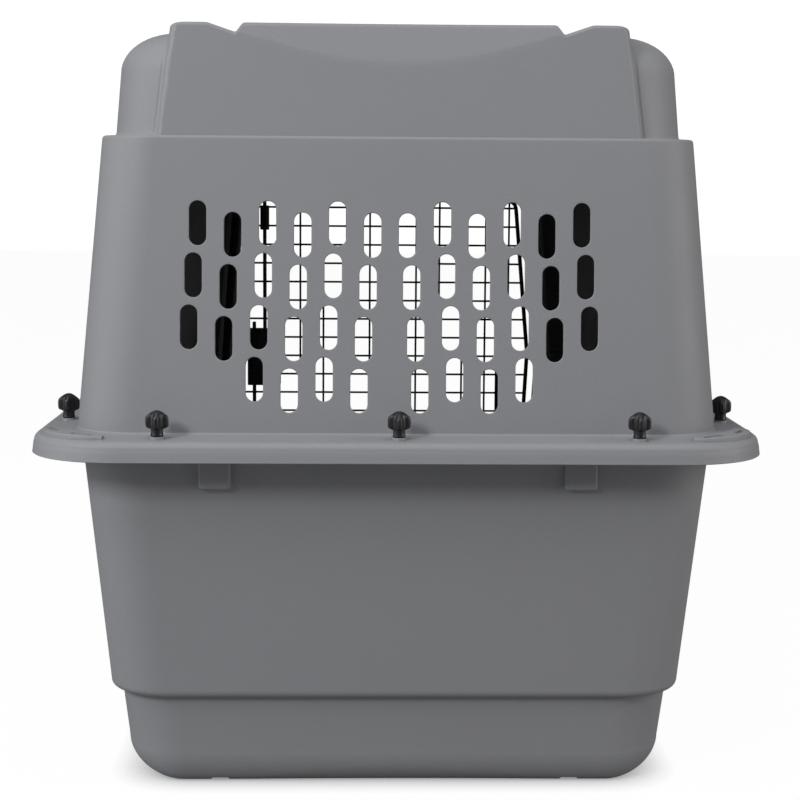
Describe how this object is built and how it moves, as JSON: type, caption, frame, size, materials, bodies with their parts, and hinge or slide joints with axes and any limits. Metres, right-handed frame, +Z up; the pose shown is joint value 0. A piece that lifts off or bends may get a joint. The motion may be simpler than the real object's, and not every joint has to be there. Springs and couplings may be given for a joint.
{
  "type": "pet transport carrier",
  "caption": "Two-part moulded kennel with slotted vents, a flange joined by lobed knobs, and a hinged wire door with a squeeze latch.",
  "frame": {"origin": "under the middle of the base, on the surface the carrier stands on", "axes": "+Z up, +Y along the length towards the vented rear wall, so the door faces -Y, +X across the width"},
  "size_m": [0.635, 0.914, 0.669],
  "materials": {
    "upper_shell_plastic": "fine pebbled grey moulding, lighter than the lower half",
    "lower_shell_plastic": "fine pebbled grey moulding",
    "knob_plastic": "satin black moulding",
    "latch_plastic": "satin black moulding",
    "black_wire": "black coated steel wire",
    "bolt_steel": "zinc plated",
    "spring_steel": "plain spring wire"
  },
  "bodies": {
    "base": {"bottom_shell": "lower_shell_plastic", "bolt_rear_1": "bolt_steel", "bolt_rear_2": "bolt_steel", "bolt_rear_3": "bolt_steel", "bolt_left_1": "bolt_steel", "bolt_left_2": "bolt_steel", "bolt_left_3": "bolt_steel", "bolt_left_4": "bolt_steel", "bolt_right_1": "bolt_steel", "bolt_right_2": "bolt_steel", "bolt_right_3": "bolt_steel", "bolt_right_4": "bolt_steel", "bolt_front_1": "bolt_steel", "bolt_front_2": "bolt_steel"},
    "upper_half": {"top_shell": "upper_shell_plastic"},
    "door": {"door_frame": "black_wire", "door_grille": "black_wire", "hinge_rod": "black_wire", "upper_rod_guide": "latch_plastic", "lower_rod_guide": "latch_plastic", "latch_housing": "latch_plastic", "latch_spring": "spring_steel"},
    "upper_latch": {"upper_slider": "latch_plastic", "upper_rod": "black_wire"},
    "lower_latch": {"lower_slider": "latch_plastic", "lower_rod": "black_wire"},
    "knob_rear_1": {"knob_rear_1": "knob_plastic"},
    "knob_rear_2": {"knob_rear_2": "knob_plastic"},
    "knob_rear_3": {"knob_rear_3": "knob_plastic"},
    "knob_left_1": {"knob_left_1": "knob_plastic"},
    "knob_left_2": {"knob_left_2": "knob_plastic"},
    "knob_left_3": {"knob_left_3": "knob_plastic"},
    "knob_left_4": {"knob_left_4": "knob_plastic"},
    "knob_right_1": {"knob_right_1": "knob_plastic"},
    "knob_right_2": {"knob_right_2": "knob_plastic"},
    "knob_right_3": {"knob_right_3": "knob_plastic"},
    "knob_right_4": {"knob_right_4": "knob_plastic"},
    "knob_front_1": {"knob_front_1": "knob_plastic"},
    "knob_front_2": {"knob_front_2": "knob_plastic"}
  },
  "joints": [
    {"name": "upper_half_lift", "type": "slide", "parent": "base", "child": "upper_half", "axis": [0, 0, 1], "range_m": [0, 0.36]},
    {"name": "door_swing", "type": "hinge", "parent": "base", "child": "door", "pos_m": [-0.149, -0.4146, 0.3], "axis": [0, 0, -1], "range_deg": [0, 125]},
    {"name": "upper_latch_slide", "type": "slide", "parent": "door", "child": "upper_latch", "axis": [0, 0, 1], "range_m": [0, 0.011], "stiffness_N_per_m": 250, "springref_m": 0.03, "deforming": ["latch_spring"]},
    {"name": "lower_latch_slide", "type": "slide", "parent": "door", "child": "lower_latch", "axis": [0, 0, 1], "range_m": [-0.011, 0]},
    {"name": "knob_rear_1_turn", "type": "hinge", "parent": "upper_half", "child": "knob_rear_1", "pos_m": [-0.203, 0.4385, 0.33], "axis": [0, 0, 1], "continuous": true},
    {"name": "knob_rear_2_turn", "type": "hinge", "parent": "upper_half", "child": "knob_rear_2", "pos_m": [0, 0.4385, 0.33], "axis": [0, 0, 1], "continuous": true},
    {"name": "knob_rear_3_turn", "type": "hinge", "parent": "upper_half", "child": "knob_rear_3", "pos_m": [0.203, 0.4385, 0.33], "axis": [0, 0, 1], "continuous": true},
    {"name": "knob_left_1_turn", "type": "hinge", "parent": "upper_half", "child": "knob_left_1", "pos_m": [-0.2955, 0.32, 0.33], "axis": [0, 0, 1], "continuous": true},
    {"name": "knob_left_2_turn", "type": "hinge", "parent": "upper_half", "child": "knob_left_2", "pos_m": [-0.2955, 0.107, 0.33], "axis": [0, 0, 1], "continuous": true},
    {"name": "knob_left_3_turn", "type": "hinge", "parent": "upper_half", "child": "knob_left_3", "pos_m": [-0.2955, -0.107, 0.33], "axis": [0, 0, 1], "continuous": true},
    {"name": "knob_left_4_turn", "type": "hinge", "parent": "upper_half", "child": "knob_left_4", "pos_m": [-0.2955, -0.32, 0.33], "axis": [0, 0, 1], "continuous": true},
    {"name": "knob_right_1_turn", "type": "hinge", "parent": "upper_half", "child": "knob_right_1", "pos_m": [0.2955, 0.32, 0.33], "axis": [0, 0, 1], "continuous": true},
    {"name": "knob_right_2_turn", "type": "hinge", "parent": "upper_half", "child": "knob_right_2", "pos_m": [0.2955, 0.107, 0.33], "axis": [0, 0, 1], "continuous": true},
    {"name": "knob_right_3_turn", "type": "hinge", "parent": "upper_half", "child": "knob_right_3", "pos_m": [0.2955, -0.107, 0.33], "axis": [0, 0, 1], "continuous": true},
    {"name": "knob_right_4_turn", "type": "hinge", "parent": "upper_half", "child": "knob_right_4", "pos_m": [0.2955, -0.32, 0.33], "axis": [0, 0, 1], "continuous": true},
    {"name": "knob_front_1_turn", "type": "hinge", "parent": "upper_half", "child": "knob_front_1", "pos_m": [-0.24, -0.4385, 0.33], "axis": [0, 0, 1], "continuous": true},
    {"name": "knob_front_2_turn", "type": "hinge", "parent": "upper_half", "child": "knob_front_2", "pos_m": [0.24, -0.4385, 0.33], "axis": [0, 0, 1], "continuous": true}
  ],
  "couplings": [
    {"joint": "lower_latch_slide", "follows": "upper_latch_slide", "ratio": -1}
  ]
}
